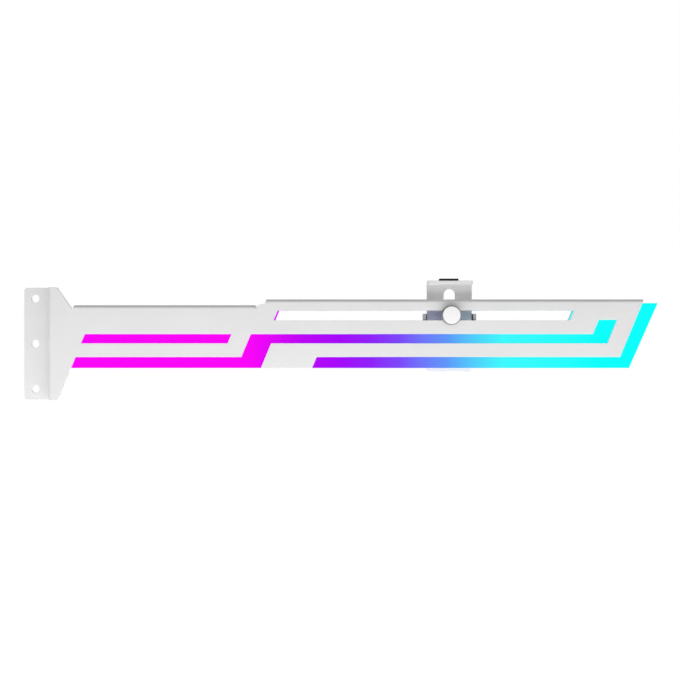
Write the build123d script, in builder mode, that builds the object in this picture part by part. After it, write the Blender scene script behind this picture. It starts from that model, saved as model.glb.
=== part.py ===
from build123d import *
from math import radians, sqrt, tan
import os

os.makedirs("parts", exist_ok=True)

# Graphics card support bracket, in millimetres.
# The origin is the middle flange hole, on the flange's rear seating face.
# +X runs along the arm and +Z is up. The front faces -Y, so a depth is a distance towards -Y.

# Sheets and the stack of the arm
sheet = 1.2
bend_inside = 0.4
guide_thickness = 3.0
cover_thickness = 1.2

# Flange: three screw holes at the pitch of the slot covers
hole_pitch = 20.32
hole_diameter = 3.6
hole_to_edge = 5.05
hole_to_flange_end = 4.88
hole_to_wall = 7.2
flange_corner = 1.3

# Gusset between the flange and the arm
gusset_top_x = 11.2
gusset_base_x = 11.7

# Heights of the arm, from the middle hole
arm_base = -10.8
stripe_height = 4.95
window_base = 0.2
window_height = 4.15
hook_height = 10.5
slot_middle = 12.66
slot_height = 4.45
left_top = 17.2
right_top = 19.8

# Lengths of the arm, at its base; every end leans by the slant
slant = 22.5
end_slant = 23.9
arm_reach = 266.1
light_start = 17.25
window_length = 65.4
window_gap = 8.55
crossing_width = 10.8
foot_length = 22.75
slot_start = 98.8
slot_to_hook = 12.6
hook_width = 8.2
end_rim = 8.1
end_stripe = 6.35

# Top folds and the step between them
fold_start = 18.2
step_offset = 9.05
step_run = 3.3
step_low_drop = 0.1
step_high_drop = 1.9
fold_relief = 0.3
fold_mitre = 0.6

# Hidden edges of the light guide and its cover
guide_hidden_left = 13.0
guide_top_gap = 0.4
guide_step_inset = 0.6
guide_slot_gap = 0.2
cover_inset = 0.4

# Cover fixings
standoff_across = 3.2
standoff_clearance = 0.15
thread_radius = 0.8
screw_clearance = 0.05
screw_hole_radius = 1.1
screw_head_radius = 1.9
screw_length = 3.4
foot_fixing_height = 3.0
fold_to_fixing = 12.0
fixing_to_step = 12.0

# Light strip
board_width = 5.0
board_thickness = 0.3
board_below_window = 0.6
board_to_grommet = 5.5
board_to_hook = 2.0
tape_thickness = 0.1
led_size = 2.0
led_height = 0.9
led_pitch = 16.0
capacitor_length = 1.0
capacitor_width = 0.5
capacitor_to_led = 2.4
groove_clearance = 0.15

# Lead grommet
grommet_x = 20.0
grommet_flange_radius = 3.2
grommet_neck_radius = 2.5
grommet_bore_radius = 1.3
grommet_outer_flange = 1.2
grommet_inner_flange = 1.0
grommet_clearance = 0.3
grommet_bevel = 0.5

# Support that slides along the arm
support_x = 186.5
support_width = 20.2
support_sheet = 1.7
support_foot = -12.6
support_corner = 1.0
ledge_top = 28.2
ledge_overhang = 4.4
lift_slot_width = 5.2
lift_slot_top = 24.7
lift_slot_low = -6.0
running_gap = 0.25

# Pad on the ledge
pad_width = 8.6
pad_thickness = 1.0
pad_depth = 3.2
pad_setback = 0.3
pad_offset = -0.65
pad_corner = 0.4
pad_bevel = 0.25

# Guide clip behind the support, and its nut
clip_sheet = 1.5
clip_bend_inside = 0.3
clip_gap = 0.15
ear_gap = 0.4
ear_top = 0.87
clip_above = 5.0
clip_below = 5.0
clip_shoulder = 0.6
tongue_gap = 0.3
tongue_reach = 0.7
nut_radius = 3.8
nut_thickness = 3.0
nut_neck_radius = 2.7
nut_thread_radius = 1.75
press_clearance = 0.02

# Thumb screw
head_radius = 4.35
head_height = 3.4
head_bevel = 0.5
head_gap = 0.15
shank_clearance = 0.05
tip_bevel = 0.5
tip_proud = 0.8

# Depths of the layers, forward of the seat
arm_back = sheet
cover_front = arm_back + cover_thickness
guide_front = cover_front + guide_thickness
plate_front = guide_front + sheet
bend_outside = bend_inside + sheet

# Heights that follow from the sizes above
flange_half = hole_pitch + hole_to_flange_end
stripe_top = arm_base + stripe_height
window_top = window_base + window_height
slot_low = slot_middle - slot_height / 2
slot_high = slot_middle + slot_height / 2
left_bend = left_top - bend_outside
right_bend = right_top - bend_outside
left_root = left_bend - sheet
right_root = right_bend - sheet
left_guide_top = left_top - sheet - guide_top_gap
right_guide_top = right_top - sheet - guide_top_gap
slot_band = (window_top + slot_low) / 2
left_band = (window_top + left_bend) / 2
right_band = (window_base + hook_height + right_bend) / 2
rim_band = window_base + hook_height / 3

# Ends of the light windows and of the slot, at the arm's base
window_end = light_start + window_length
crossing_start = window_end + window_gap
crossing_end = crossing_start + crossing_width
foot_end = crossing_end + foot_length
plate_end = arm_reach - end_stripe
hook_end = plate_end - end_rim
hook_start = hook_end - hook_width
slot_end = hook_start - slot_to_hook
step_x = crossing_start + step_offset
left_fold_end = step_x - fold_relief
right_fold_start = step_x + step_run + fold_relief


def lean(height, angle=slant):
    """How far a slanted end has moved to the right at this height."""
    return (height - arm_base) * tan(radians(angle))


def slanted_band(start, end, low, high, mode=Mode.ADD):
    """A strip between two heights with slanted ends, given at the arm's base."""
    Polygon(
        (start + lean(low), low),
        (end + lean(low), low),
        (end + lean(high), high),
        (start + lean(high), high),
        mode=mode,
    )


def guide_outline():
    """The light guide's outline from the front."""
    Polygon(
        (light_start, arm_base),
        (arm_reach, arm_base),
        (arm_reach + lean(right_guide_top, end_slant), right_guide_top),
        (step_x + step_run + guide_step_inset, right_guide_top),
        (step_x + guide_step_inset, left_guide_top),
        (guide_hidden_left, left_guide_top),
        (guide_hidden_left, stripe_top),
        (light_start + lean(stripe_top), stripe_top),
    )


# Fixing points of the back cover, all behind opaque metal
fixings = [
    (fold_start + fold_to_fixing, left_band),
    (step_x - fixing_to_step, left_band),
    ((crossing_end + foot_end) / 2, arm_base + foot_fixing_height),
    ((slot_start + slot_end) / 2 + lean(slot_band), slot_band),
    (hook_end + lean(right_band) - hook_width / 2, right_band),
    (hook_end + lean(rim_band) + end_rim / 2, rim_band),
]

# A hexagonal standoff reaches furthest at its corners
standoff_hole_radius = standoff_across / sqrt(3) + standoff_clearance

# The light strip lies behind the opaque band under the windows
board_middle = window_base - board_below_window - board_width / 2
board_start = grommet_x + board_to_grommet
board_end = hook_end + lean(board_middle) - board_to_hook
board_centre = (board_start + board_end) / 2
board_back = cover_front + tape_thickness
board_front = board_back + board_thickness
led_count = int((board_end - board_start) // led_pitch)
groove_depth = tape_thickness + board_thickness + led_height + groove_clearance
groove_width = board_width + 2 * groove_clearance

# Top folds: each starts inside the plate and runs back to the arm's rear face
strip_end = plate_end + lean(right_top)
with BuildPart() as top_folds:
    for fold_left, fold_right, fold_root, fold_top in [
        (fold_start, left_fold_end, left_root, left_top),
        (right_fold_start, strip_end, right_root, right_top),
    ]:
        with BuildSketch(Plane.YZ.offset(fold_left)):
            with BuildLine():
                FilletPolyline(
                    (-plate_front, fold_root),
                    (-plate_front, fold_top),
                    (-arm_back, fold_top),
                    (-arm_back, fold_top - sheet),
                    (-guide_front, fold_top - sheet),
                    (-guide_front, fold_root),
                    radius=[0, bend_outside, 0, 0, bend_inside, 0],
                    close=True,
                )
            make_face()
        extrude(amount=fold_right - fold_left)

    # The ends are mitred, and the last one follows the arm's slanted end
    with BuildSketch(Plane.XZ):
        Polygon(
            (fold_start, left_root),
            (left_fold_end, left_root),
            (left_fold_end, left_bend),
            (left_fold_end - fold_mitre, left_top),
            (fold_start + fold_mitre, left_top),
            (fold_start, left_bend),
        )
        Polygon(
            (right_fold_start, right_root),
            (plate_end + lean(right_root), right_root),
            (strip_end, right_top),
            (right_fold_start + fold_mitre, right_top),
            (right_fold_start, right_bend),
        )
    extrude(amount=2 * plate_front, both=True, mode=Mode.INTERSECT)

# Front plate: one folded sheet with the flange, the joggle, the arm and its top folds
with BuildPart() as front_plate:
    with BuildSketch(Plane.XY.offset(-flange_half)):
        with BuildLine():
            FilletPolyline(
                (-hole_to_edge, 0),
                (-hole_to_edge, -sheet),
                (hole_to_wall, -sheet),
                (hole_to_wall, -plate_front),
                (strip_end, -plate_front),
                (strip_end, -guide_front),
                (hole_to_wall + sheet, -guide_front),
                (hole_to_wall + sheet, 0),
                radius=[0, 0, bend_inside, bend_outside, 0, 0, bend_inside, bend_outside],
                close=True,
            )
        make_face()
    extrude(amount=2 * flange_half)

    # The flat outline with its holes, windows and slot trims the bent strip
    with BuildSketch(Plane.XZ) as flat_outline:
        Polygon(
            (-hole_to_edge, flange_half),
            (gusset_top_x, flange_half),
            (fold_start - fold_relief, left_bend),
            (step_x, left_bend),
            (step_x, left_top - step_low_drop),
            (step_x + step_run, right_top - step_high_drop),
            (step_x + step_run, right_bend),
            (plate_end + lean(right_bend), right_bend),
            (plate_end + lean(stripe_top), stripe_top),
            (light_start + lean(stripe_top), stripe_top),
            (light_start, arm_base),
            (gusset_base_x, -flange_half),
            (-hole_to_edge, -flange_half),
        )
        outline_rows = flat_outline.vertices().group_by(Axis.Y)
        fillet(outline_rows[0] + outline_rows[-1], flange_corner)
        slanted_band(crossing_end, foot_end, arm_base, stripe_top + sheet)
        slanted_band(light_start, window_end, window_base, window_top, Mode.SUBTRACT)
        slanted_band(crossing_start, crossing_end, stripe_top, window_top, Mode.SUBTRACT)
        slanted_band(crossing_start, hook_end, window_base, window_top, Mode.SUBTRACT)
        slanted_band(hook_start, hook_end, window_base, window_base + hook_height, Mode.SUBTRACT)
        slanted_band(slot_start, slot_end, slot_low, slot_high, Mode.SUBTRACT)
        with GridLocations(0, hole_pitch, 1, 3):
            Circle(hole_diameter / 2, mode=Mode.SUBTRACT)
    extrude(amount=2 * plate_front, both=True, mode=Mode.INTERSECT)

    add(top_folds.part)
front_plate.part.label = "front_plate"
export_step(front_plate.part, "parts/front_plate.step")

# Light guide: frosted sheet with a groove for the strip and clearance for the standoffs
with BuildPart() as light_guide:
    with BuildSketch(Plane.XZ.offset(cover_front)):
        guide_outline()
        slanted_band(
            slot_start - guide_slot_gap,
            slot_end + guide_slot_gap,
            slot_low - guide_slot_gap,
            slot_high + guide_slot_gap,
            Mode.SUBTRACT,
        )
        with Locations(*fixings):
            Circle(standoff_hole_radius, mode=Mode.SUBTRACT)
    extrude(amount=guide_thickness)

    # The upper front edges are bevelled to clear the inside of the top folds
    front_edges = light_guide.edges().filter_by(Axis.X).group_by(Axis.Y)[0]
    chamfer(front_edges.filter_by_position(Axis.Z, left_guide_top, right_guide_top), bend_inside)
    with BuildSketch(Plane.XZ.offset(cover_front)):
        with Locations((board_centre, board_middle)):
            Rectangle(board_end - board_start + 2 * groove_clearance, groove_width)
        with Locations(((grommet_x + board_start) / 2, board_middle)):
            Rectangle(board_start - grommet_x + 2 * groove_clearance, groove_width)
        with Locations((grommet_x, board_middle)):
            Circle(grommet_flange_radius + grommet_clearance)
    extrude(amount=groove_depth, mode=Mode.SUBTRACT)
light_guide.part.label = "light_guide"
export_step(light_guide.part, "parts/light_guide.step")

# Back cover: flat sheet with the slot, countersunk screw holes and the grommet hole
with BuildPart() as back_cover:
    with BuildSketch(Plane.XZ.offset(arm_back)):
        guide_outline()
        offset(amount=-cover_inset)
        slanted_band(slot_start, slot_end, slot_low, slot_high, Mode.SUBTRACT)
        with Locations((grommet_x, board_middle)):
            Circle(grommet_neck_radius, mode=Mode.SUBTRACT)
    extrude(amount=cover_thickness)
    with Locations(*[Location((x, -arm_back, z), (-90, 0, 0)) for x, z in fixings]):
        CounterSinkHole(
            screw_hole_radius,
            screw_head_radius + screw_clearance,
            depth=cover_thickness,
            counter_sink_angle=90,
        )
back_cover.part.label = "back_cover"
export_step(back_cover.part, "parts/back_cover.step")

# Hexagonal standoffs: welded to the back of the front plate, tapped from the cover's side
with BuildPart() as cover_standoffs:
    with BuildSketch(Plane.XZ.offset(cover_front)):
        with Locations(*fixings):
            RegularPolygon(standoff_across / 2, 6, major_radius=False)
            Circle(thread_radius + screw_clearance, mode=Mode.SUBTRACT)
    extrude(amount=guide_thickness)
cover_standoffs.part.label = "cover_standoffs"
export_step(cover_standoffs.part, "parts/cover_standoffs.step")

# Cover screws: countersunk heads flush with the back cover
with BuildPart() as cover_screws:
    for fixing_x, fixing_z in fixings:
        with BuildSketch(Plane((fixing_x, -arm_back, fixing_z))):
            Polygon(
                (0, 0),
                (screw_head_radius, 0),
                (thread_radius, -(screw_head_radius - thread_radius)),
                (thread_radius, -screw_length),
                (0, -screw_length),
            )
        revolve(axis=Axis((fixing_x, 0, fixing_z), (0, 1, 0)))
cover_screws.part.label = "cover_screws"
export_step(cover_screws.part, "parts/cover_screws.step")

# Tape that holds the strip to the cover
with BuildPart() as board_tape:
    with BuildSketch(Plane.XZ.offset(cover_front)):
        with Locations((board_centre, board_middle)):
            Rectangle(board_end - board_start, board_width)
    extrude(amount=tape_thickness)
board_tape.part.label = "board_tape"
export_step(board_tape.part, "parts/board_tape.step")

# Flexible circuit of the light strip
with BuildPart() as led_board:
    with BuildSketch(Plane.XZ.offset(board_back)):
        with Locations((board_centre, board_middle)):
            Rectangle(board_end - board_start, board_width)
    extrude(amount=board_thickness)
led_board.part.label = "led_board"
export_step(led_board.part, "parts/led_board.step")

# Light sources on the strip
with BuildPart() as led_chips:
    with BuildSketch(Plane.XZ.offset(board_front)):
        with Locations((board_centre, board_middle)):
            with GridLocations(led_pitch, 0, led_count, 1):
                Rectangle(led_size, led_size)
    extrude(amount=led_height)
led_chips.part.label = "led_chips"
export_step(led_chips.part, "parts/led_chips.step")

# One capacitor beside each light source
with BuildPart() as led_capacitors:
    with BuildSketch(Plane.XZ.offset(board_front)):
        with Locations((board_centre + capacitor_to_led, board_middle)):
            with GridLocations(led_pitch, 0, led_count, 1):
                Rectangle(capacitor_length, capacitor_width)
    extrude(amount=capacitor_width)
led_capacitors.part.label = "led_capacitors"
export_step(led_capacitors.part, "parts/led_capacitors.step")

# Grommet of the lead, with a flange on each side of the cover
with BuildPart() as lead_grommet:
    with BuildSketch(Plane((grommet_x, 0, board_middle))):
        outer_face = -arm_back + grommet_outer_flange
        inner_face = -cover_front - grommet_inner_flange
        Polygon(
            (grommet_bore_radius, outer_face),
            (grommet_flange_radius, outer_face),
            (grommet_flange_radius, -arm_back),
            (grommet_neck_radius, -arm_back),
            (grommet_neck_radius, -cover_front),
            (grommet_flange_radius, -cover_front),
            (grommet_flange_radius, inner_face),
            (grommet_bore_radius, inner_face),
        )
    revolve(axis=Axis((grommet_x, 0, board_middle), (0, 1, 0)))
    outer_rim = lead_grommet.edges().filter_by(GeomType.CIRCLE).group_by(Axis.Y)[-1]
    chamfer(outer_rim, grommet_bevel)
lead_grommet.part.label = "lead_grommet"
export_step(lead_grommet.part, "parts/lead_grommet.step")

# Support: folded sheet with an upright, a long slot and a ledge over the arm
upright_front = arm_back - running_gap
upright_back = upright_front - support_sheet
ledge_front = upright_front + ledge_overhang
ledge_low = ledge_top - support_sheet
with BuildPart() as support:
    with BuildSketch(Plane.YZ.offset(support_x - support_width / 2)):
        with BuildLine():
            FilletPolyline(
                (-upright_back, support_foot),
                (-upright_back, ledge_top),
                (-ledge_front, ledge_top),
                (-ledge_front, ledge_low),
                (-upright_front, ledge_low),
                (-upright_front, support_foot),
                radius=[0, bend_inside + support_sheet, 0, 0, bend_inside, 0],
                close=True,
            )
        make_face()
    extrude(amount=support_width)
    with BuildSketch(Plane.XZ.offset(upright_back)):
        lift_slot_length = lift_slot_top - lift_slot_low
        with Locations((support_x, (lift_slot_top + lift_slot_low) / 2)):
            SlotOverall(lift_slot_length, lift_slot_width, rotation=90)
    extrude(amount=support_sheet, mode=Mode.SUBTRACT)
    ledge_corners = support.edges().filter_by(Axis.Z).group_by(Axis.Y)[0]
    foot_corners = support.edges().filter_by(Axis.Y).group_by(Axis.Z)[0]
    fillet(ledge_corners + foot_corners, support_corner)
support.part.label = "support"
export_step(support.part, "parts/support.step")

# Rubber pad on the ledge
with BuildPart() as rubber_pad:
    pad_middle = ledge_front - pad_setback - pad_depth / 2
    with BuildSketch(Plane.XY.offset(ledge_top)):
        with Locations((support_x + pad_offset, -pad_middle)):
            RectangleRounded(pad_width, pad_depth, pad_corner)
    extrude(amount=pad_thickness)
    chamfer(rubber_pad.faces().sort_by(Axis.Z)[-1].edges(), pad_bevel)
rubber_pad.part.label = "rubber_pad"
export_step(rubber_pad.part, "parts/rubber_pad.step")

# Guide clip: U-shaped sheet behind the support, with ears beside it and tongues in the slot
clip_front = upright_back - clip_gap
clip_back = clip_front - clip_sheet
clip_bend_outside = clip_bend_inside + clip_sheet
ear_inside = support_width / 2 + ear_gap
ear_outside = ear_inside + clip_sheet
tongue_front = arm_back + tongue_reach
ear_front = arm_back - tongue_gap
with BuildPart() as guide_clip:
    with BuildSketch(Plane.XY.offset(slot_middle - clip_below)):
        with BuildLine():
            FilletPolyline(
                (support_x - ear_outside, -tongue_front),
                (support_x - ear_outside, -clip_back),
                (support_x + ear_outside, -clip_back),
                (support_x + ear_outside, -tongue_front),
                (support_x + ear_inside, -tongue_front),
                (support_x + ear_inside, -clip_front),
                (support_x - ear_inside, -clip_front),
                (support_x - ear_inside, -tongue_front),
                radius=[0, clip_bend_outside, clip_bend_outside, 0, 0, clip_bend_inside, clip_bend_inside, 0],
                close=True,
            )
        make_face()
    extrude(amount=clip_below + clip_above)

    # Above the ears a narrower flat back is left, and in the slot only the tongues
    with BuildSketch(Plane.XZ.offset(clip_back)):
        with Locations((support_x, slot_middle + ear_top)):
            Rectangle(2 * ear_outside, clip_above, align=(Align.CENTER, Align.MIN))
            Rectangle(
                support_width - 2 * clip_shoulder,
                clip_above,
                align=(Align.CENTER, Align.MIN),
                mode=Mode.SUBTRACT,
            )
    extrude(amount=tongue_front - clip_back, mode=Mode.SUBTRACT)
    with BuildSketch(Plane.XZ.offset(ear_front)):
        with Locations((support_x, slot_low + tongue_gap)):
            Rectangle(2 * ear_outside, clip_below, align=(Align.CENTER, Align.MAX))
    extrude(amount=tongue_front - ear_front, mode=Mode.SUBTRACT)
    with BuildSketch(Plane.XZ.offset(clip_back)):
        with Locations((support_x, slot_middle)):
            Circle(nut_neck_radius + press_clearance)
    extrude(amount=clip_sheet, mode=Mode.SUBTRACT)
guide_clip.part.label = "guide_clip"
export_step(guide_clip.part, "parts/guide_clip.step")

# Clamp nut pressed into the clip from behind
with BuildPart() as clamp_nut:
    nut_back = clip_back - nut_thickness
    with BuildSketch(Plane.XZ.offset(nut_back)):
        with Locations((support_x, slot_middle)):
            RegularPolygon(nut_radius, 6, major_radius=False)
    extrude(amount=nut_thickness)
    with BuildSketch(Plane.XZ.offset(clip_back)):
        with Locations((support_x, slot_middle)):
            Circle(nut_neck_radius)
    extrude(amount=clip_sheet)
    with BuildSketch(Plane.XZ.offset(nut_back)):
        with Locations((support_x, slot_middle)):
            Circle(nut_thread_radius)
    extrude(amount=nut_thickness + clip_sheet, mode=Mode.SUBTRACT)
clamp_nut.part.label = "clamp_nut"
export_step(clamp_nut.part, "parts/clamp_nut.step")

# Thumb screw: bevelled head in front of the arm, shank through the slots into the nut
with BuildPart() as thumb_screw:
    head_back = plate_front + head_gap
    head_front = head_back + head_height
    shank_radius = nut_thread_radius - shank_clearance
    shank_tip = nut_back - tip_proud
    with BuildSketch(Plane((support_x, 0, slot_middle))):
        Polygon(
            (0, -head_front),
            (head_radius - head_bevel, -head_front),
            (head_radius, -head_front + head_bevel),
            (head_radius, -head_back),
            (shank_radius, -head_back),
            (shank_radius, -shank_tip - tip_bevel),
            (shank_radius - tip_bevel, -shank_tip),
            (0, -shank_tip),
        )
    revolve(axis=Axis((support_x, 0, slot_middle), (0, 1, 0)))
thumb_screw.part.label = "thumb_screw"
export_step(thumb_screw.part, "parts/thumb_screw.step")
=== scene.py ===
from math import cos, pi, radians, sin

import bmesh
import bpy
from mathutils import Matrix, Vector


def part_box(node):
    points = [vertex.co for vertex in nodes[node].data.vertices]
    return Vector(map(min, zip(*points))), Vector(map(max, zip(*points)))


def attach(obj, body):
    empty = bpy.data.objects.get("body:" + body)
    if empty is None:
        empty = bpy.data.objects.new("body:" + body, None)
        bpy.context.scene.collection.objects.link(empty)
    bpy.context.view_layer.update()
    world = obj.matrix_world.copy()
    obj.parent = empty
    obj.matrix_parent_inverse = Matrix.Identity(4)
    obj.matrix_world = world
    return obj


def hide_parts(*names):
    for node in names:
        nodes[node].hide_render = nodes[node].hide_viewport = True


# Graphics card support bracket: finishes, softened edges, screws and studio light.
# Lengths are in metres, in the frame of the solids: +X along the arm, +Z up, the front towards -Y.
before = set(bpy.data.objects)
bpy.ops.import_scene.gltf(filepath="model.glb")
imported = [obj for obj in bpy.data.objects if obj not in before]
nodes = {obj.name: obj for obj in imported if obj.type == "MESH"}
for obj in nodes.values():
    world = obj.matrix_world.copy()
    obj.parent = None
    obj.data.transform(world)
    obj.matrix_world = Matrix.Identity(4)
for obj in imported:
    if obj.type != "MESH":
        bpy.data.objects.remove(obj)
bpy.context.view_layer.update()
MM = 0.001


def grey(value):
    """A neutral linear colour."""
    return (value, value, value, 1)


def linear(colour):
    """A screen colour as linear light, by the sRGB curve, with full cover."""
    channels = []
    for value in colour:
        share = value / 255
        if share <= 0.04045:
            channels.append(share / 12.92)
        else:
            channels.append(((share + 0.055) / 1.055) ** 2.4)
    return (*channels, 1)


# Camera: the photograph looks straight along +Y at the middle of the arm
CAMERA_PLACE = (137.2 * MM, -426.6 * MM, 1.7 * MM)
CAMERA_TURN = (radians(90), 0, 0)
CAMERA_LENS = 50.0
CAMERA_SENSOR = 36.0
CAMERA_NEAR = 10 * MM

# Studio: a room that is bright in front and a little overhead, a light table in front, and a lamp behind
FLOOR_HEIGHT = -200 * MM
FLOOR_HALF = 3.0
FLOOR_COLOUR = grey(0.9)
FLOOR_WHITE = 0.85
ROOM_FRONT = 0.80
ROOM_TOP = 0.14
TABLE_PLACE = (130 * MM, -180 * MM, FLOOR_HEIGHT + MM)
TABLE_TURN = pi
TABLE_SIZE = (800 * MM, 360 * MM)
TABLE_LIGHT = 2.45
BACK_PLACE = (137 * MM, 1000 * MM, 0)
BACK_TURN = -pi / 2
BACK_SIZE = (1600 * MM, 400 * MM)
BACK_LIGHT = 4.0

# Softened edges and arcs
SHEET_EDGE = 0.18 * MM
GUIDE_EDGE = 0.15 * MM
CLIP_EDGE = 0.2 * MM
EDGE_STEPS = 3
ARC_STEPS = 6
SHARP_ANGLE = radians(35)
FLAT_ANGLE = radians(0.3)
WELD = 0.001 * MM

# The left end of the guide's slot reaches past the plate's, so that it shows as a lit sliver
SLOT_END = Vector((108.3 * MM, -3.9 * MM, 12.66 * MM))
SLOT_END_NEAR = 4 * MM
SLOT_END_REACH = 0.8 * MM

# Thumb screw
HEAD_HEIGHT = 3.4 * MM
HEAD_EDGE = 0.75 * MM
HEAD_BACK_EDGE = 0.5 * MM
KNURL_TEETH = 48
KNURL_DEPTH = 0.16 * MM
KNURL_MARGIN = 0.85 * MM
SHANK_RADIUS = 1.70 * MM
SHANK_NECK = 0.8 * MM
SHANK_TIP = 0.5 * MM
SHANK_PITCH = 0.6 * MM
SHANK_STEPS = 144

# Clamp nut: flats are measured from the axis, and the corners are turned down to a round face
NUT_FLATS = 3.8 * MM
NUT_BODY = 3.0 * MM
NUT_NECK_RADIUS = 2.7 * MM
NUT_BORE = 1.75 * MM
NUT_CHAMFER = 0.3 * MM
NUT_FACE_RADIUS = 0.97 * NUT_FLATS
NUT_TURNED = 1.4 * NUT_CHAMFER
NUT_STEPS = 96

# Cover screws
COVER_SCREW_SHANK = 0.8 * MM
COVER_SCREW_PITCH = 0.4 * MM
COVER_SCREW_STEPS = 36
RECESS_REACH = 0.95 * MM
RECESS_HALF = 0.22 * MM
RECESS_DEPTH = 0.7 * MM
RECESS_TAPER = 0.55
HEAD_RIM = 0.08 * MM

# Threads: the depth is a share of the pitch, and the crest and the root are shares of the flank
THREAD_DEPTH = 0.6
THREAD_ROWS = 8
THREAD_CREST = 0.15

# Grommet
GROMMET_FLANGE = 3.2 * MM
GROMMET_NECK = 2.5 * MM
GROMMET_BORE = 1.3 * MM
GROMMET_ROUND = 0.4 * MM
GROMMET_OUTER = 1.2 * MM
GROMMET_INNER = 1.0 * MM
GROMMET_STEPS = 64

# Pad: the crown starts and ends at these distances from the side, with corners a share of the distance
PAD_CORNER = 0.4 * MM
PAD_FOOT = 0.1 * MM
PAD_ROUND = 0.3 * MM
PAD_CROWN = 0.05 * MM
PAD_CROWN_START = 0.6 * MM
PAD_CROWN_END = 1.2 * MM
PAD_CROWN_CORNER = 0.125

# Light strip: chips and capacitors stand at one pitch, each with a round middle of this radius
LED_PITCH = 16 * MM
LENS_RADIUS = 0.75 * MM
CAPACITOR_RADIUS = 0.3 * MM

# Finishes. A noise is given as features to a metre and octaves. It runs from the first of a pair
# of tones or values, where it is low, to the second, where it is high.
NOISE_LIMITS = (0.3, 0.7)

# White paint and the screw, which share the orange peel and the shine
PEEL = (1300, 2)
PEEL_DEPTH = 0.02 * MM
PEEL_RELIEF = 0.12
PAINT_SHINE = 0.35
PAINT_CLOUDS = (45, 5)
PAINT_TONES = (grey(0.785), grey(0.815))
PAINT_ROUGHNESS = (0.40, 0.52)
FACE_TONES = (grey(0.94), grey(0.96))
FACE_SQUARE = (0.95, 0.99)
# Dark steel tones where the screw does not face along its axis: partly painted shade for the ring round
# the head
RIM_SHADE_TONES = (grey(0.20), grey(0.28))
SCREW_ROUGHNESS = (0.30, 0.40)

# Zinc, with streaks drawn out along the arm
ZINC_STREAKS = (900, 4)
ZINC_STRETCH = (0.08, 1, 1)
ZINC_TONES = ((0.34, 0.35, 0.37, 1), (0.43, 0.44, 0.46, 1))
ZINC_ROUGHNESS = (0.3, 0.46)
ZINC_DEPTH = 0.01 * MM
ZINC_RELIEF = 0.15

# Rubber
RUBBER_GRAIN = (2600, 4)
RUBBER_TONES = (grey(0.011), grey(0.02))
RUBBER_ROUGHNESS = (0.68, 0.86)
RUBBER_SHINE = 0.25
RUBBER_DEPTH = 0.04 * MM
RUBBER_RELIEF = 0.4

# Tape and circuit film
TAPE_FIBRES = (1500, 4)
TAPE_TONES = ((0.80, 0.79, 0.74, 1), (0.87, 0.86, 0.82, 1))
TAPE_ROUGHNESS = (0.52, 0.68)
FILM_FIBRES = (2500, 4)
FILM_TONES = ((0.78, 0.79, 0.77, 1), (0.85, 0.85, 0.83, 1))
FILM_ROUGHNESS = (0.32, 0.48)
FIBRE_STRETCH = (0.3, 1, 1)
FIBRE_DEPTH = 0.01 * MM
FIBRE_RELIEF = 0.2

# Chips and capacitors: the colour changes between these shares of the middle's radius
SPOT_BORDER = (0.9, 1.1)
SPOT_STOPS = (0.45, 0.55)
CHIP_GRAIN = (3000, 2)
CHIP_CASE = (0.88, 0.88, 0.85, 1)
CHIP_LENS = (0.85, 0.70, 0.12, 1)
CHIP_ROUGHNESS = (0.19, 0.31)
CAPACITOR_ENDS = (0.60, 0.60, 0.58, 1)
CAPACITOR_MIDDLE = (0.36, 0.22, 0.12, 1)
CAPACITOR_ROUGHNESS = (0.34, 0.46)

# Frosted acrylic: the front, the rear and the ends glow fully, and the long edges are paler and glow less
FROST = (2200, 3)
FROST_DEPTH = 0.02 * MM
FROST_RELIEF = 0.2
FROST_GLOW = (0.95, 1.0)
FROST_ROUGHNESS = (0.5, 0.7)
FROST_SHINE = 0.04
FRONT_SQUARE = (0.1, 0.6)
END_SQUARE = (0.5, 0.8)
EDGE_GLOW = 0.32
EDGE_PALE = 0.30
BODY_SHARE = 0.04

# Colours of the glow as they look on a screen, from 0 to 255, and their places along the arm
MAGENTA = (248, 0, 246)
PURPLE = (188, 0, 244)
VIOLET = (162, 4, 248)
INDIGO = (141, 30, 247)
IRIS = (122, 70, 248)
AZURE = (92, 149, 247)
AQUA = (60, 247, 250)
CYAN = (8, 252, 250)
GLOW_STOPS = [
    (96 * MM, MAGENTA),
    (119 * MM, PURPLE),
    (138 * MM, VIOLET),
    (151 * MM, INDIGO),
    (164 * MM, IRIS),
    (185 * MM, AZURE),
    (210 * MM, AQUA),
    (252 * MM, CYAN),
]

# The mix node has its colours at these sockets
MIX_FIRST = 6
MIX_SECOND = 7
MIX_RESULT = 2


# Node helpers
def new_material(name):
    """A material with one Principled shader."""
    material = bpy.data.materials.new(name)
    material.use_nodes = True
    return material, material.node_tree, material.node_tree.nodes["Principled BSDF"]


def axes(tree, kind):
    """The X, Y and Z of a kind of coordinate."""
    place = tree.nodes.new("ShaderNodeTexCoord")
    split = tree.nodes.new("ShaderNodeSeparateXYZ")
    tree.links.new(place.outputs[kind], split.inputs["Vector"])
    return split.outputs


def noise(tree, features, octaves, stretch=(1, 1, 1)):
    """Noise in the piece's own coordinates."""
    place = tree.nodes.new("ShaderNodeTexCoord")
    mapping = tree.nodes.new("ShaderNodeMapping")
    mapping.inputs["Scale"].default_value = stretch
    texture = tree.nodes.new("ShaderNodeTexNoise")
    texture.inputs["Scale"].default_value = features
    texture.inputs["Detail"].default_value = octaves
    tree.links.new(place.outputs["Object"], mapping.inputs["Vector"])
    tree.links.new(mapping.outputs["Vector"], texture.inputs["Vector"])
    return texture.outputs["Fac"]


def ramp(tree, factor, stops):
    """Colours along a factor from 0 to 1."""
    node = tree.nodes.new("ShaderNodeValToRGB")
    elements = node.color_ramp.elements
    while len(elements) < len(stops):
        elements.new(1.0)
    for element, (position, colour) in zip(elements, stops):
        element.position = position
        element.color = colour
    tree.links.new(factor, node.inputs["Fac"])
    return node.outputs["Color"]


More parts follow.
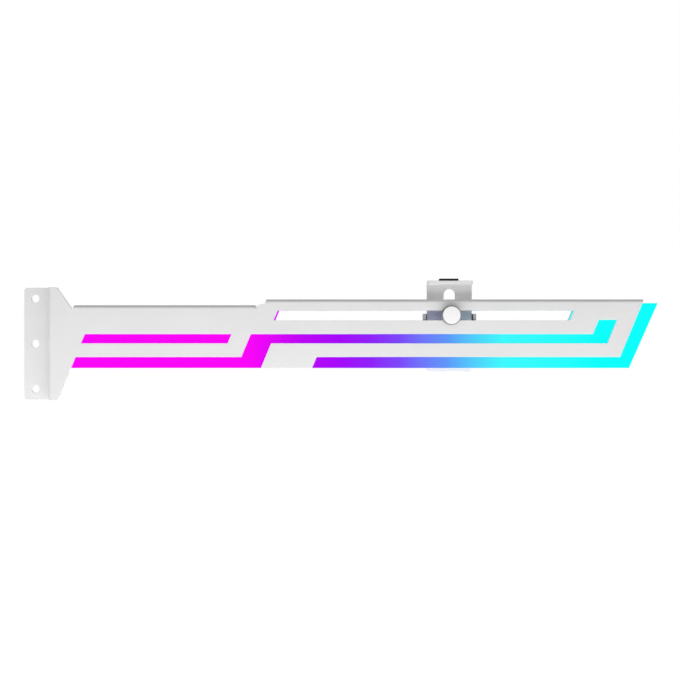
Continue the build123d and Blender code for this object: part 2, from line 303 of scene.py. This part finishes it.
def mottle(tree, factor, tones):
    """Noise as two tones that run into each other."""
    return ramp(tree, factor, list(zip(NOISE_LIMITS, tones)))


def spread(tree, factor, values, limits=NOISE_LIMITS):
    """A factor stretched from its limits to two values."""
    node = tree.nodes.new("ShaderNodeMapRange")
    start, end = limits
    low, high = values
    node.inputs["From Min"].default_value = start
    node.inputs["From Max"].default_value = end
    node.inputs["To Min"].default_value = low
    node.inputs["To Max"].default_value = high
    tree.links.new(factor, node.inputs["Value"])
    return node.outputs["Result"]


def bump(tree, shader, height, depth, strength):
    """Relief of the given depth on the shader's normal."""
    node = tree.nodes.new("ShaderNodeBump")
    node.inputs["Distance"].default_value = depth
    node.inputs["Strength"].default_value = strength
    tree.links.new(height, node.inputs["Height"])
    tree.links.new(node.outputs["Normal"], shader.inputs["Normal"])


def feed(tree, socket, value):
    """Gives a socket a value, or what comes from another socket."""
    if isinstance(value, bpy.types.NodeSocket):
        tree.links.new(value, socket)
    else:
        socket.default_value = value


def calc(tree, operation, first, second=None):
    """One sum on sockets or numbers."""
    node = tree.nodes.new("ShaderNodeMath")
    node.operation = operation
    feed(tree, node.inputs[0], first)
    if second is not None:
        feed(tree, node.inputs[1], second)
    return node.outputs["Value"]


def blend(tree, factor, where_zero, where_one):
    """A colour between two colours."""
    node = tree.nodes.new("ShaderNodeMix")
    node.data_type = "RGBA"
    tree.links.new(factor, node.inputs["Factor"])
    feed(tree, node.inputs[MIX_FIRST], where_zero)
    feed(tree, node.inputs[MIX_SECOND], where_one)
    return node.outputs[MIX_RESULT]


def facing(tree, axis, limits):
    """How squarely a surface faces along an axis, either way, from 0 to 1 between two limits."""
    return spread(tree, calc(tree, "ABSOLUTE", axes(tree, "Normal")[axis]), (0, 1), limits)


# Materials
def powder_coat():
    """White powder coat: faint cloudiness, uneven satin and orange peel."""
    material, tree, shader = new_material("white_paint")
    clouds = noise(tree, *PAINT_CLOUDS)
    tree.links.new(mottle(tree, clouds, PAINT_TONES), shader.inputs["Base Color"])
    peel = noise(tree, *PEEL)
    tree.links.new(spread(tree, peel, PAINT_ROUGHNESS), shader.inputs["Roughness"])
    bump(tree, shader, peel, PEEL_DEPTH, PEEL_RELIEF)
    shader.inputs["Specular IOR Level"].default_value = PAINT_SHINE
    return material


def screw_paint_and_rim_shade():
    """Turned screw: a white face, and a dark steel tone on the bevel, the knurl and the thread, which
    partly paints the shade of the ring round the head.
    """
    material, tree, shader = new_material("white_screw")
    peel = noise(tree, *PEEL)
    white = mottle(tree, peel, FACE_TONES)
    # Painted shade: surfaces that do not face along the axis take the dark tone, which makes the shaded
    # ring round the head
    rim_shade = mottle(tree, peel, RIM_SHADE_TONES)
    face = facing(tree, "Y", FACE_SQUARE)
    tree.links.new(blend(tree, face, rim_shade, white), shader.inputs["Base Color"])
    tree.links.new(spread(tree, peel, SCREW_ROUGHNESS), shader.inputs["Roughness"])
    bump(tree, shader, peel, PEEL_DEPTH, PEEL_RELIEF)
    shader.inputs["Specular IOR Level"].default_value = PAINT_SHINE
    return material


def frosted_acrylic():
    """Frosted acrylic lit from within, from magenta at the flange to cyan at the free end."""
    material, tree, shader = new_material("frosted_acrylic")
    first = GLOW_STOPS[0][0]
    last = GLOW_STOPS[-1][0]
    share = spread(tree, axes(tree, "Object")["X"], (0, 1), (first, last))
    glow = []
    body = []
    for x, colour in GLOW_STOPS:
        position = (x - first) / (last - first)
        red, green, blue, cover = linear(colour)
        glow.append((position, (red, green, blue, cover)))
        body.append((position, (BODY_SHARE * red, BODY_SHARE * green, BODY_SHARE * blue, cover)))
    tree.links.new(ramp(tree, share, glow), shader.inputs["Emission Color"])
    frost = noise(tree, *FROST)
    face = calc(tree, "MAXIMUM", facing(tree, "Y", FRONT_SQUARE), facing(tree, "X", END_SQUARE))
    weakening = spread(tree, face, (EDGE_GLOW, 1), (0, 1))
    strength = calc(tree, "MULTIPLY", spread(tree, frost, FROST_GLOW), weakening)
    tree.links.new(strength, shader.inputs["Emission Strength"])
    tint = blend(tree, face, grey(EDGE_PALE), ramp(tree, share, body))
    tree.links.new(tint, shader.inputs["Base Color"])
    tree.links.new(spread(tree, frost, FROST_ROUGHNESS), shader.inputs["Roughness"])
    shader.inputs["Specular IOR Level"].default_value = FROST_SHINE
    bump(tree, shader, frost, FROST_DEPTH, FROST_RELIEF)
    return material


def zinc_steel():
    """Bright zinc on rolled sheet: faint streaks along the arm and uneven shine."""
    material, tree, shader = new_material("zinc_steel")
    streaks = noise(tree, *ZINC_STREAKS, ZINC_STRETCH)
    tree.links.new(mottle(tree, streaks, ZINC_TONES), shader.inputs["Base Color"])
    tree.links.new(spread(tree, streaks, ZINC_ROUGHNESS), shader.inputs["Roughness"])
    shader.inputs["Metallic"].default_value = 1.0
    bump(tree, shader, streaks, ZINC_DEPTH, ZINC_RELIEF)
    return material


def black_rubber():
    """Matt black rubber with a fine moulded grain."""
    material, tree, shader = new_material("black_rubber")
    grain = noise(tree, *RUBBER_GRAIN)
    tree.links.new(mottle(tree, grain, RUBBER_TONES), shader.inputs["Base Color"])
    tree.links.new(spread(tree, grain, RUBBER_ROUGHNESS), shader.inputs["Roughness"])
    shader.inputs["Specular IOR Level"].default_value = RUBBER_SHINE
    bump(tree, shader, grain, RUBBER_DEPTH, RUBBER_RELIEF)
    return material


def plain_film(name, fibres, tones, roughness):
    """A thin film or tape with a soft fibre pattern."""
    material, tree, shader = new_material(name)
    pattern = noise(tree, *fibres, FIBRE_STRETCH)
    tree.links.new(mottle(tree, pattern, tones), shader.inputs["Base Color"])
    tree.links.new(spread(tree, pattern, roughness), shader.inputs["Roughness"])
    bump(tree, shader, pattern, FIBRE_DEPTH, FIBRE_RELIEF)
    return material


def spotted_row(name, node, radius, inside, outside, roughness):
    """A row of like parts along X, each with a round middle in another colour."""
    material, tree, shader = new_material(name)
    low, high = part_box(node)
    place = axes(tree, "Object")
    start = low.x + (high.z - low.z) / 2 - LED_PITCH / 2
    turns = calc(tree, "DIVIDE", calc(tree, "SUBTRACT", place["X"], start), LED_PITCH)
    part = calc(tree, "SUBTRACT", calc(tree, "FRACT", turns), 0.5)
    across = calc(tree, "MULTIPLY", part, LED_PITCH)
    up = calc(tree, "SUBTRACT", place["Z"], (low.z + high.z) / 2)
    squares = calc(tree, "ADD", calc(tree, "POWER", across, 2), calc(tree, "POWER", up, 2))
    border = [radius * edge for edge in SPOT_BORDER]
    share = spread(tree, calc(tree, "SQRT", squares), (0, 1), border)
    stops = list(zip(SPOT_STOPS, (inside, outside)))
    tree.links.new(ramp(tree, share, stops), shader.inputs["Base Color"])
    grain = noise(tree, *CHIP_GRAIN)
    tree.links.new(spread(tree, grain, roughness), shader.inputs["Roughness"])
    return material


# Mesh helpers
def finished_mesh(name, bm):
    """A mesh from one under construction."""
    mesh = bpy.data.meshes.new(name)
    bm.to_mesh(mesh)
    bm.free()
    return mesh


def put(name, data):
    """A new object in the scene."""
    thing = bpy.data.objects.new(name, data)
    bpy.context.scene.collection.objects.link(thing)
    return thing


def place_piece(name, mesh, material, body, replaced):
    """Puts a finished mesh in the scene on its body, where it stands for one solid."""
    mesh.shade_smooth()
    mesh.set_sharp_from_angle(angle=SHARP_ANGLE)
    mesh.materials.clear()
    mesh.materials.append(material)
    piece = put(name, mesh)
    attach(piece, body)
    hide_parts(replaced)
    return piece


def add_piece(name, bm, material, body, replaced):
    """Makes a piece from a mesh under construction."""
    bmesh.ops.recalc_face_normals(bm, faces=bm.faces)
    place_piece(name, finished_mesh(name, bm), material, body, replaced)


def welded(node):
    """A solid's mesh with its faces joined, to work on."""
    bm = bmesh.new()
    bm.from_mesh(nodes[node].data)
    bmesh.ops.remove_doubles(bm, verts=bm.verts, dist=WELD)
    return bm


def soften(name, node, width, material, body, change=None):
    """A copy of a solid with its sharp edges rounded, after a change to its mesh where one is given."""
    bm = welded(node)
    bmesh.ops.dissolve_limit(bm, angle_limit=FLAT_ANGLE, verts=bm.verts, edges=bm.edges)
    if change:
        change(bm)
    piece = place_piece(name, finished_mesh(name, bm), material, body, node)
    edges = piece.modifiers.new("soft_edges", "BEVEL")
    edges.width = width
    edges.segments = EDGE_STEPS
    edges.limit_method = "ANGLE"
    edges.angle_limit = SHARP_ANGLE
    edges.harden_normals = True


def extend_slot_end(bm):
    """Moves the left end of the guide's slot to the right."""
    for vertex in bm.verts:
        if (vertex.co - SLOT_END).length < SLOT_END_NEAR:
            vertex.co.x += SLOT_END_REACH


def islands(node):
    """The lowest and highest corner of each separate solid in a node, from left to right."""
    bm = welded(node)
    waiting = set(bm.verts)
    boxes = []
    while waiting:
        front = [waiting.pop()]
        low = Vector(front[0].co)
        high = Vector(front[0].co)
        while front:
            vertex = front.pop()
            low = Vector(map(min, low, vertex.co))
            high = Vector(map(max, high, vertex.co))
            for edge in vertex.link_edges:
                other = edge.other_vert(vertex)
                if other in waiting:
                    waiting.remove(other)
                    front.append(other)
        boxes.append((low, high))
    bm.free()
    return sorted(boxes, key=lambda box: box[0].x)


def axis_of(low, high):
    """The X and Z of the axis of a turned part, from its box."""
    return (low.x + high.x) / 2, (low.z + high.z) / 2


def zigzag(turns):
    """Runs from 1 at a whole turn to 0 at half a turn and back."""
    return abs(turns % 1 - 0.5) * 2


def round_corners(points, radii):
    """A path of (radius, y) points with its corners rounded to the given radii."""
    path = []
    for index, (corner, radius) in enumerate(zip(points, radii)):
        if radius == 0:
            path.append(corner)
            continue
        here = Vector(corner)
        before = (Vector(points[index - 1]) - here).normalized()
        after = (Vector(points[(index + 1) % len(points)]) - here).normalized()
        for step in range(ARC_STEPS + 1):
            share = step / ARC_STEPS
            near = here + before * radius * (1 - share) ** 2 + after * radius * share ** 2
            path.append(tuple(near))
    return path


def bridge(bm, first, second):
    """Faces between two loops of the same count."""
    count = len(first)
    for i in range(count):
        after = (i + 1) % count
        bm.faces.new((first[i], first[after], second[after], second[i]))


def loop_edges(bm, loop):
    """The edges round a loop."""
    return [bm.edges.get(pair) for pair in zip(loop, loop[1:] + loop[:1])]


def turned(bm, x, z, rings, steps, closed=False):
    """A skin through rings about an axis along Y. A ring is (radius or radius by angle, y)."""
    loops = []
    for radius, y in rings:
        loop = []
        for step in range(steps):
            angle = 2 * pi * step / steps
            reach = radius(angle) if callable(radius) else radius
            loop.append(bm.verts.new((x + reach * cos(angle), y, z + reach * sin(angle))))
        loops.append(loop)
    pairs = list(zip(loops, loops[1:]))
    if closed:
        pairs.append((loops[-1], loops[0]))
    else:
        bm.faces.new(loops[0])
        bm.faces.new(loops[-1])
    for first, second in pairs:
        bridge(bm, first, second)
    return loops


def thread_rings(radius, pitch, start, end):
    """Rings of a right-hand thread from start to end along Y, fading out at both ends."""
    depth = THREAD_DEPTH * pitch
    count = round(abs(end - start) / pitch * THREAD_ROWS)
    rings = []
    for row in range(count + 1):
        y = start + (end - start) * row / count
        fade = min(1.0, abs(y - start) / pitch, abs(end - y) / pitch)

        def reach(angle, y=y, fade=fade):
            slope = zigzag(y / pitch + angle / (2 * pi))
            cut = min(1.0, max(0.0, (slope - THREAD_CREST) / (1 - 2 * THREAD_CREST)))
            return radius - depth * fade * cut

        rings.append((reach, y))
    return rings


def rounded_loop(bm, middle, half_x, half_y, corner, z):
    """A level rectangle with rounded corners."""
    loop = []
    for quarter, (side, end) in enumerate([(1, 1), (-1, 1), (-1, -1), (1, -1)]):
        for step in range(ARC_STEPS + 1):
            angle = pi / 2 * (quarter + step / ARC_STEPS)
            x = middle.x + side * (half_x - corner) + corner * cos(angle)
            y = middle.y + end * (half_y - corner) + corner * sin(angle)
            loop.append(bm.verts.new((x, y, z)))
    return loop


# Pieces
def thumb_screw(material):
    """Knurled head, threaded shank and bevelled tip."""
    low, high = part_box("thumb_screw")
    x, z = axis_of(low, high)
    head = (high.x - low.x) / 2
    back = low.y + HEAD_HEIGHT

    def knurl(angle):
        return head - KNURL_DEPTH * zigzag(angle * KNURL_TEETH / (2 * pi))

    front_edge = round_corners([(0, low.y), (head, low.y), (head, back)], [0, HEAD_EDGE, 0])
    back_edge = round_corners([(head, low.y), (head, back), (0, back)], [0, HEAD_BACK_EDGE, 0])
    rings = front_edge[1:-1]
    rings.append((head, low.y + KNURL_MARGIN))
    rings.append((knurl, low.y + KNURL_MARGIN + KNURL_DEPTH))
    rings.append((knurl, back - KNURL_MARGIN - KNURL_DEPTH))
    rings.append((head, back - KNURL_MARGIN))
    rings.extend(back_edge[1:-1])
    rings.append((SHANK_RADIUS, back))
    rings.extend(thread_rings(SHANK_RADIUS, SHANK_PITCH, back + SHANK_NECK, high.y - SHANK_TIP))
    rings.append((SHANK_RADIUS - SHANK_TIP, high.y))
    bm = bmesh.new()
    turned(bm, x, z, rings, SHANK_STEPS)
    add_piece("knurled_screw", bm, material, "thumb_screw", "thumb_screw")


def clamp_nut(material):
    """Hexagonal insert with turned corners and a collar pressed into the clip."""
    low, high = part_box("clamp_nut")
    x, z = axis_of(low, high)
    corner = NUT_FLATS / cos(pi / 6)

    def hexagon(limit):
        def reach(angle):
            return min(limit, NUT_FLATS / cos(angle % (pi / 3) - pi / 6))
        return reach

    seat = high.y - NUT_BODY
    rings = [(NUT_BORE, low.y + NUT_CHAMFER), (NUT_BORE + NUT_CHAMFER, low.y)]
    rings += [(NUT_NECK_RADIUS - NUT_CHAMFER / 2, low.y), (NUT_NECK_RADIUS, low.y + NUT_CHAMFER / 2)]
    rings += [(NUT_NECK_RADIUS, seat), (hexagon(corner), seat)]
    for step in range(ARC_STEPS + 1):
        share = step / ARC_STEPS
        limit = corner + (NUT_FACE_RADIUS - corner) * share
        rings.append((hexagon(limit), high.y - NUT_TURNED * (1 - share)))
    rings += [(NUT_BORE + NUT_CHAMFER, high.y), (NUT_BORE, high.y - NUT_CHAMFER)]
    bm = bmesh.new()
    turned(bm, x, z, rings, NUT_STEPS, closed=True)
    add_piece("clamp_insert", bm, material, "slider", "clamp_nut")


def cover_screws(material):
    """Countersunk screws with a cross recess and a thread."""
    bm = bmesh.new()
    for low, high in islands("cover_screws"):
        x, z = axis_of(low, high)
        head = (high.x - low.x) / 2
        neck = high.y - (head - COVER_SCREW_SHANK)
        rings = thread_rings(COVER_SCREW_SHANK, COVER_SCREW_PITCH, low.y, neck)
        rings.append((head, high.y - HEAD_RIM))
        rings.append((head - HEAD_RIM, high.y))
        rim = turned(bm, x, z, rings, COVER_SCREW_STEPS)[-1]
        cap = [face for face in rim[0].link_faces if len(face.verts) == COVER_SCREW_STEPS]
        bmesh.ops.delete(bm, geom=cap, context="FACES_ONLY")
        cut_cross(bm, x, z, high.y, rim)
    add_piece("cross_screws", bm, material, "arm", "cover_screws")


def cut_cross(bm, x, z, y, rim):
    """Closes a screw head with a tapered cross recess in it."""
    quarter = [(RECESS_HALF, RECESS_HALF), (RECESS_REACH, RECESS_HALF), (RECESS_REACH, -RECESS_HALF)]
    mouth = []
    floor = []
    for turn in range(4):
        angle = -turn * pi / 2
        for across, up in quarter:
            side = across * cos(angle) - up * sin(angle)
            rise = across * sin(angle) + up * cos(angle)
            mouth.append(bm.verts.new((x + side, y, z + rise)))
            deep_x = x + side * RECESS_TAPER
            deep_z = z + rise * RECESS_TAPER
            floor.append(bm.verts.new((deep_x, y - RECESS_DEPTH, deep_z)))
    bridge(bm, mouth, floor)
    bm.faces.new(floor)
    edges = loop_edges(bm, rim) + loop_edges(bm, mouth)
    bmesh.ops.triangle_fill(bm, edges=edges, use_beauty=True)


def lead_grommet(material):
    """Moulded grommet with soft lips on both sides of the cover."""
    low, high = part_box("lead_grommet")
    x, z = axis_of(low, high)
    outer = high.y - GROMMET_OUTER
    inner = low.y + GROMMET_INNER
    points = [
        (GROMMET_BORE, high.y),
        (GROMMET_FLANGE, high.y),
        (GROMMET_FLANGE, outer),
        (GROMMET_NECK, outer),
        (GROMMET_NECK, inner),
        (GROMMET_FLANGE, inner),
        (GROMMET_FLANGE, low.y),
        (GROMMET_BORE, low.y),
    ]
    soft = GROMMET_ROUND
    rings = round_corners(points, [soft, soft, soft / 2, 0, 0, soft / 2, soft, soft])
    bm = bmesh.new()
    turned(bm, x, z, rings, GROMMET_STEPS, closed=True)
    add_piece("lead_bush", bm, material, "arm", "lead_grommet")


def rubber_pad(material):
    """Moulded pad with rounded edges and a slightly crowned top."""
    low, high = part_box("rubber_pad")
    middle = (low + high) / 2
    half_x = (high.x - low.x) / 2
    half_y = (high.y - low.y) / 2
    levels = [(PAD_FOOT, low.z), (0, low.z + PAD_FOOT)]
    rim = high.z - PAD_CROWN
    for step in range(ARC_STEPS + 1):
        angle = pi / 2 * step / ARC_STEPS
        levels.append((PAD_ROUND * (1 - cos(angle)), rim - PAD_ROUND * (1 - sin(angle))))
    levels.append((PAD_CROWN_START, rim + PAD_CROWN / 2))
    levels.append((PAD_CROWN_END, high.z))
    bm = bmesh.new()
    loops = []
    for inset, z in levels:
        corner = max(PAD_CORNER - inset, inset * PAD_CROWN_CORNER)
        loops.append(rounded_loop(bm, middle, half_x - inset, half_y - inset, corner, z))
    for first, second in zip(loops, loops[1:]):
        bridge(bm, first, second)
    bm.faces.new(loops[0])
    bm.faces.new(loops[-1])
    add_piece("grip_pad", bm, material, "support", "rubber_pad")


# Finishes and pieces of the bracket
white_paint = powder_coat()
white_screw = screw_paint_and_rim_shade()
acrylic = frosted_acrylic()
zinc = zinc_steel()
rubber = black_rubber()

soften("folded_plate", "front_plate", SHEET_EDGE, white_paint, "arm")
soften("lit_guide", "light_guide", GUIDE_EDGE, acrylic, "arm", extend_slot_end)
soften("rear_sheet", "back_cover", SHEET_EDGE, white_paint, "arm")
soften("card_support", "support", SHEET_EDGE, white_paint, "support")
soften("sliding_clip", "guide_clip", CLIP_EDGE, zinc, "slider")
thumb_screw(white_screw)
clamp_nut(zinc)
cover_screws(zinc)
lead_grommet(rubber)
rubber_pad(rubber)

# Inner pieces keep their solids and get a finish of their own
tape = plain_film("white_tape", TAPE_FIBRES, TAPE_TONES, TAPE_ROUGHNESS)
film = plain_film("white_circuit", FILM_FIBRES, FILM_TONES, FILM_ROUGHNESS)
lens = spotted_row("led_lens", "led_chips", LENS_RADIUS, CHIP_LENS, CHIP_CASE, CHIP_ROUGHNESS)
ceramic = spotted_row(
    "ceramic", "led_capacitors", CAPACITOR_RADIUS, CAPACITOR_MIDDLE, CAPACITOR_ENDS, CAPACITOR_ROUGHNESS
)
inner_finishes = {
    "cover_standoffs": zinc,
    "board_tape": tape,
    "led_board": film,
    "led_chips": lens,
    "led_capacitors": ceramic,
}
for name, finish in inner_finishes.items():
    nodes[name].data.materials.clear()
    nodes[name].data.materials.append(finish)


# Studio
def background_factor(tree):
    """One for the rays that look at the background, by eye, in shine or through glass."""
    path = tree.nodes.new("ShaderNodeLightPath")
    shine = calc(tree, "MAXIMUM", path.outputs["Is Glossy Ray"], path.outputs["Is Transmission Ray"])
    return calc(tree, "MAXIMUM", path.outputs["Is Camera Ray"], shine)


def make_floor():
    """A pale floor that looks white and can take a soft shadow."""
    bm = bmesh.new()
    bmesh.ops.create_grid(bm, x_segments=1, y_segments=1, size=FLOOR_HALF)
    mesh = finished_mesh("floor", bm)
    floor = put("floor", mesh)
    floor.location = (CAMERA_PLACE[0], 0, FLOOR_HEIGHT)
    material = bpy.data.materials.new("floor")
    material.use_nodes = True
    tree = material.node_tree
    tree.nodes.clear()
    matt = tree.nodes.new("ShaderNodeBsdfDiffuse")
    matt.inputs["Color"].default_value = FLOOR_COLOUR
    white = tree.nodes.new("ShaderNodeEmission")
    strength = calc(tree, "MULTIPLY", background_factor(tree), FLOOR_WHITE)
    tree.links.new(strength, white.inputs["Strength"])
    both = tree.nodes.new("ShaderNodeAddShader")
    out = tree.nodes.new("ShaderNodeOutputMaterial")
    tree.links.new(matt.outputs[0], both.inputs[0])
    tree.links.new(white.outputs[0], both.inputs[1])
    tree.links.new(both.outputs[0], out.inputs["Surface"])
    mesh.materials.append(material)


def make_world():
    """White where it is seen, and a soft room elsewhere, brightest in front."""
    world = bpy.data.worlds.new("studio")
    bpy.context.scene.world = world
    world.use_nodes = True
    tree = world.node_tree
    tree.nodes.clear()
    seen = tree.nodes.new("ShaderNodeBackground")
    seen.inputs["Color"].default_value = grey(1)
    dim = tree.nodes.new("ShaderNodeBackground")
    dim.inputs["Color"].default_value = grey(1)
    direction = axes(tree, "Generated")
    front = spread(tree, direction["Y"], (ROOM_FRONT, 0), (-1, 0))
    above = calc(tree, "MULTIPLY", calc(tree, "POWER", direction["Z"], 2), ROOM_TOP)
    tree.links.new(calc(tree, "ADD", front, above), dim.inputs["Strength"])
    mix = tree.nodes.new("ShaderNodeMixShader")
    out = tree.nodes.new("ShaderNodeOutputWorld")
    tree.links.new(background_factor(tree), mix.inputs["Fac"])
    tree.links.new(dim.outputs[0], mix.inputs[1])
    tree.links.new(seen.outputs[0], mix.inputs[2])
    tree.links.new(mix.outputs[0], out.inputs["Surface"])


def make_lamp(name, place, turn, size, light):
    """A soft lamp that shines down before it is turned about X, and leaves no glare on metal."""
    data = bpy.data.lights.new(name, "AREA")
    width, depth = size
    data.shape = "RECTANGLE"
    data.size = width
    data.size_y = depth
    data.energy = light * pi * width * depth
    lamp = put(name, data)
    lamp.location = place
    lamp.rotation_euler = (turn, 0, 0)
    lamp.visible_camera = False
    lamp.visible_glossy = False


def make_camera():
    """The photograph's own view, level and square to the arm."""
    data = bpy.data.cameras.new("camera")
    data.lens = CAMERA_LENS
    data.sensor_width = CAMERA_SENSOR
    data.clip_start = CAMERA_NEAR
    camera = put("camera", data)
    camera.location = CAMERA_PLACE
    camera.rotation_euler = CAMERA_TURN
    bpy.context.scene.camera = camera


make_floor()
make_world()
make_lamp("table_light", TABLE_PLACE, TABLE_TURN, TABLE_SIZE, TABLE_LIGHT)
make_lamp("back_light", BACK_PLACE, BACK_TURN, BACK_SIZE, BACK_LIGHT)
make_camera()
bpy.context.scene.view_settings.view_transform = "Standard"
